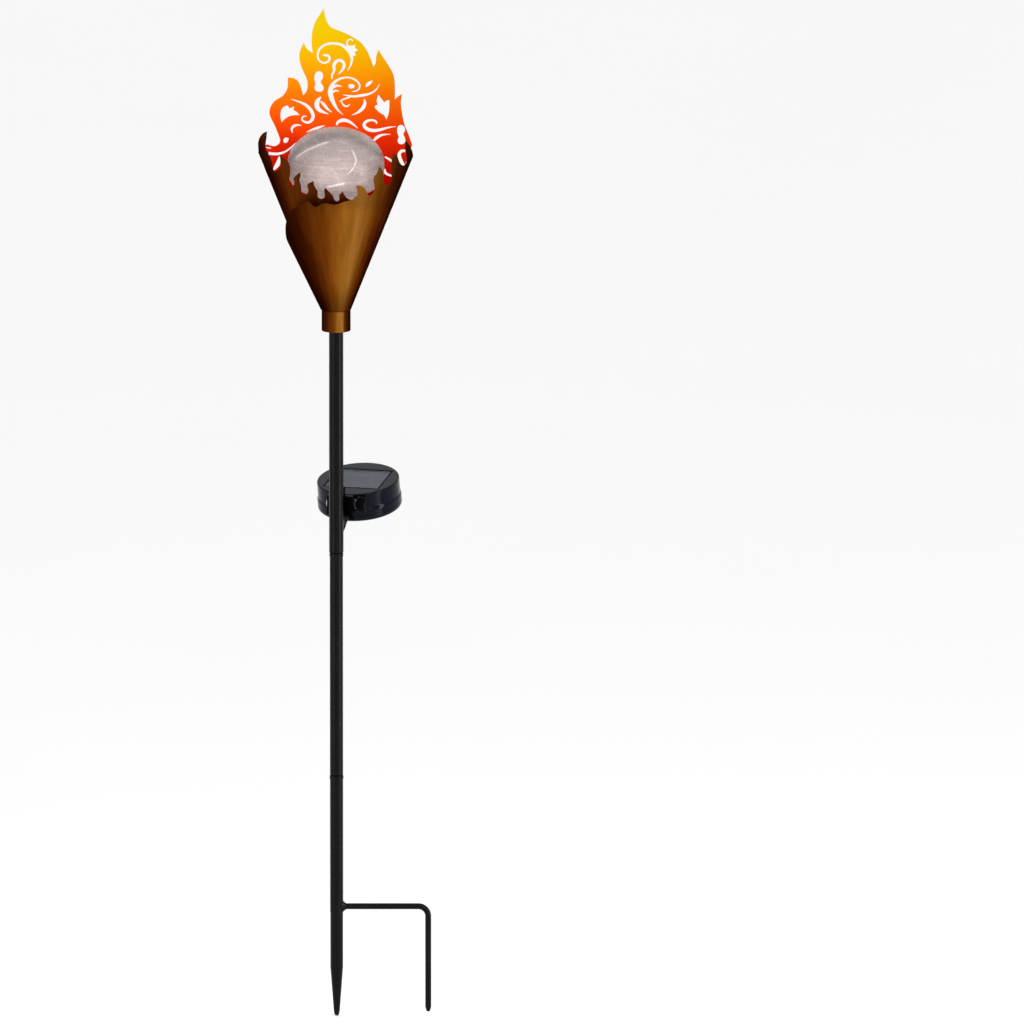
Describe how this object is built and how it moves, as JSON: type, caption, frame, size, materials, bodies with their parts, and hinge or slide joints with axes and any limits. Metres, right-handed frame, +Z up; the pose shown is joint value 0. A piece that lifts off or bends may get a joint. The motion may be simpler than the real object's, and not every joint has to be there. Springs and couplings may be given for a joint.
{
  "type": "solar garden torch stake",
  "caption": "Garden torch on a push-together pole: laser-cut flame panel and crackle-glass globe in a rolled sheet cone, tilting solar unit behind the pole, pronged ground stake.",
  "frame": {"origin": "on the pole axis at ground level, at the top of the reduced stake end, just below the prong bar", "axes": "+Z up along the pole, +X towards the second prong, -Y is the front (globe side), the solar unit is behind at +Y"},
  "size_m": [0.1559, 0.1783, 0.9077],
  "materials": {
    "flame_paint": "yellow to red gradient paint, satin",
    "bronze": "burnished bronze paint, satin",
    "crackle_glass": "clear crackle glass",
    "black_tube": "black powder coat, satin",
    "black_plastic": "glossy black",
    "black_matte": "matte black",
    "rubber": "black rubber",
    "lead_jacket": "black PVC jacket",
    "zinc": "zinc plated",
    "board": "solder mask",
    "led_lens": "clear epoxy",
    "cell": "silicon cell",
    "window": "clear, gloss",
    "battery_sleeve": "shrink sleeve",
    "slider": "white"
  },
  "bodies": {
    "stake": {"lower_tube": "black_tube", "stake_prong": "black_tube", "prong_weld": "black_tube"},
    "mid_pole": {"middle_tube": "black_tube"},
    "head": {"flame_panel": "flame_paint", "cone_shell": "bronze", "cone_wrap": "bronze", "panel_rivets": "bronze", "wrap_rivets": "bronze", "collar": "bronze", "glass_globe": "crackle_glass", "globe_seal": "rubber", "lamp_holder": "black_matte", "holder_screws": "zinc", "support_disc": "zinc", "led_board": "board", "led": "led_lens", "upper_tube": "black_tube", "pole_grommet": "rubber", "head_lead": "lead_jacket", "solar_lead": "lead_jacket", "pole_bracket": "black_matte", "bracket_screws": "black_tube", "tilt_screw": "zinc", "tilt_washer": "zinc"},
    "solar_unit": {"unit_base": "black_plastic", "unit_lid": "black_plastic", "lid_gasket": "rubber", "panel_window": "window", "solar_cell": "cell", "circuit_board": "board", "board_screws": "zinc", "battery": "battery_sleeve", "battery_contacts": "zinc", "battery_door": "black_plastic", "door_screw": "zinc", "case_screws": "zinc", "switch_body": "black_matte", "lead_gland": "rubber"},
    "knob": {"tilt_knob": "black_matte"},
    "switch": {"switch_slider": "slider"}
  },
  "joints": [
    {"name": "lower_swivel", "type": "hinge", "parent": "stake", "child": "mid_pole", "pos_m": [0, 0, 0.119], "axis": [0, 0, 1], "range_deg": [-180, 180]},
    {"name": "upper_swivel", "type": "hinge", "parent": "mid_pole", "child": "head", "pos_m": [0, 0, 0.324], "axis": [0, 0, 1], "range_deg": [-180, 180]},
    {"name": "solar_tilt", "type": "hinge", "parent": "head", "child": "solar_unit", "pos_m": [0.00631, 0.01898, 0.376], "axis": [-0.9489, 0.3156, 0], "range_deg": [-20, 45], "deforming": ["solar_lead"]},
    {"name": "knob_turn", "type": "hinge", "parent": "head", "child": "knob", "pos_m": [0.02339, 0.0133, 0.376], "axis": [0.9489, -0.3156, 0], "range_deg": [-180, 180]},
    {"name": "power_switch", "type": "slide", "parent": "solar_unit", "child": "switch", "axis": [0.9489, -0.3156, 0], "range_m": [0, 0.003]}
  ]
}
